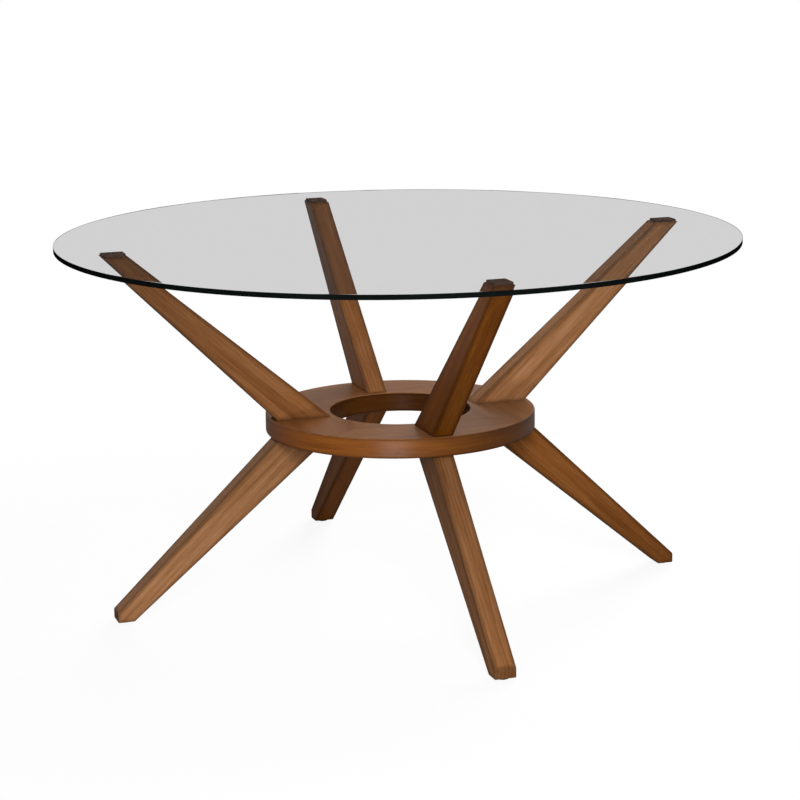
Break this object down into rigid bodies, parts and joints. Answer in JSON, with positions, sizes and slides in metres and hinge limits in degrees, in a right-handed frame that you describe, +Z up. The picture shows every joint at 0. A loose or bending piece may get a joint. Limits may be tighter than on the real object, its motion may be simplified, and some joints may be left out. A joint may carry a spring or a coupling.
{
  "type": "round dining table",
  "caption": "Round glass-topped dining table: a clear disc rests on splayed wooden arms that stand on a flat wooden ring with splayed legs below.",
  "frame": {"origin": "on the floor, under the middle of the table", "axes": "+Z up through the middle of the ring and the glass; +X and +Y along two of the arms, so that the arms lie on the X and Y axes"},
  "size_m": [1.4, 1.4, 0.76],
  "materials": {
    "clear_glass": "clear float glass, polished edge",
    "walnut": "satin clear-coated walnut, mid brown",
    "beech": "bare fluted beech dowel",
    "dark_rubber": "matt dark brown rubber",
    "zinc_steel": "bright zinc-plated steel",
    "brown_plastic": "matt dark brown plastic"
  },
  "bodies": {
    "base": {"centre_ring": "walnut", "arm_front": "walnut", "arm_right": "walnut", "arm_back": "walnut", "arm_left": "walnut", "leg_front": "walnut", "leg_right": "walnut", "leg_back": "walnut", "leg_left": "walnut", "glass_pad_front": "dark_rubber", "glass_pad_right": "dark_rubber", "glass_pad_back": "dark_rubber", "glass_pad_left": "dark_rubber", "foot_glide_front": "brown_plastic", "foot_glide_right": "brown_plastic", "foot_glide_back": "brown_plastic", "foot_glide_left": "brown_plastic", "clamp_bolt_front": "zinc_steel", "clamp_bolt_right": "zinc_steel", "clamp_bolt_back": "zinc_steel", "clamp_bolt_left": "zinc_steel", "washer_front": "zinc_steel", "washer_right": "zinc_steel", "washer_back": "zinc_steel", "washer_left": "zinc_steel", "threaded_insert_front": "zinc_steel", "threaded_insert_right": "zinc_steel", "threaded_insert_back": "zinc_steel", "threaded_insert_left": "zinc_steel", "arm_dowel_front_inner": "beech", "arm_dowel_front_outer": "beech", "arm_dowel_right_inner": "beech", "arm_dowel_right_outer": "beech", "arm_dowel_back_inner": "beech", "arm_dowel_back_outer": "beech", "arm_dowel_left_inner": "beech", "arm_dowel_left_outer": "beech", "leg_dowel_front_inner": "beech", "leg_dowel_front_outer": "beech", "leg_dowel_right_inner": "beech", "leg_dowel_right_outer": "beech", "leg_dowel_back_inner": "beech", "leg_dowel_back_outer": "beech", "leg_dowel_left_inner": "beech", "leg_dowel_left_outer": "beech"},
    "top": {"glass_top": "clear_glass"}
  },
  "joints": [
    {"name": "top_lift", "type": "slide", "parent": "base", "child": "top", "axis": [0, 0, 1], "range_m": [0, 0.15]}
  ]
}
